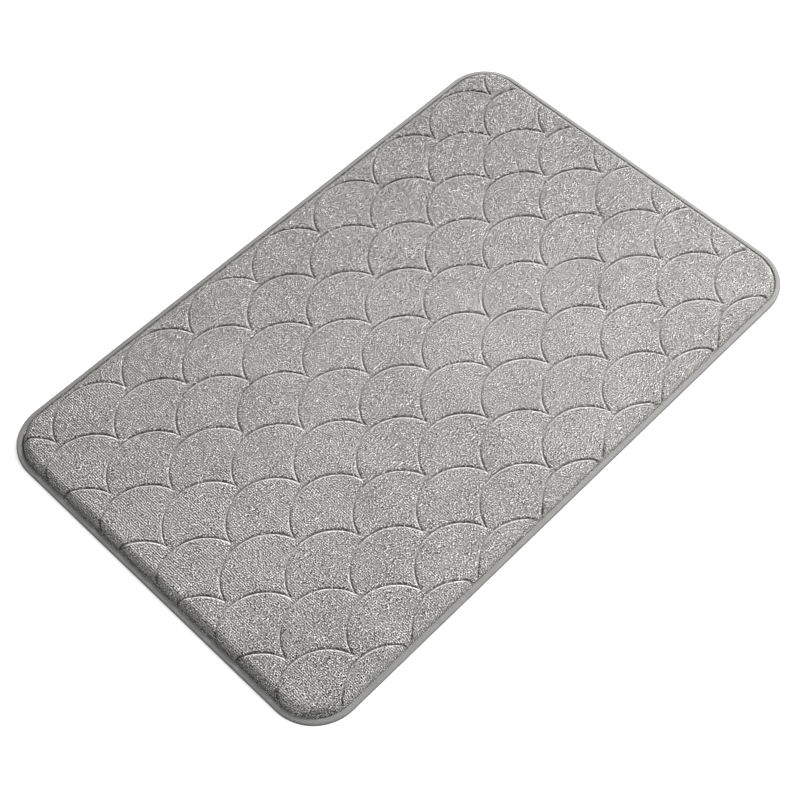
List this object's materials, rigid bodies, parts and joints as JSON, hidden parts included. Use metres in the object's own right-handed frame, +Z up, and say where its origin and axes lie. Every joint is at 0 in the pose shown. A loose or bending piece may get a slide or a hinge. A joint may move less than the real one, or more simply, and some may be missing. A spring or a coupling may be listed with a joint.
{
  "type": "bath mat",
  "caption": "Rectangular padded bath mat with rounded corners, a fleece top embossed with overlapping scales, a taped edge and a grip-dot backing.",
  "frame": {"origin": "on the floor under the middle of the mat", "axes": "+X along the mat's length, +Y across it towards the long edge that the scales' crowns face, +Z up through the pile"},
  "size_m": [0.8, 0.508, 0.014],
  "materials": {
    "pile_fleece": "soft short-pile knitted fleece with fine ribs",
    "foam": "matt open-cell foam",
    "backing_cloth": "matt plain-weave cloth",
    "grip_dots": "satin soft vinyl",
    "binding_tape": "smooth woven tape with a slight sheen",
    "sewing_thread": "twisted polyester thread"
  },
  "bodies": {
    "root": {"pile_cover": "pile_fleece", "foam_core": "foam", "backing_cloth": "backing_cloth", "grip_dots": "grip_dots", "edge_binding": "binding_tape", "needle_thread": "sewing_thread", "bobbin_thread": "sewing_thread"}
  },
  "joints": []
}
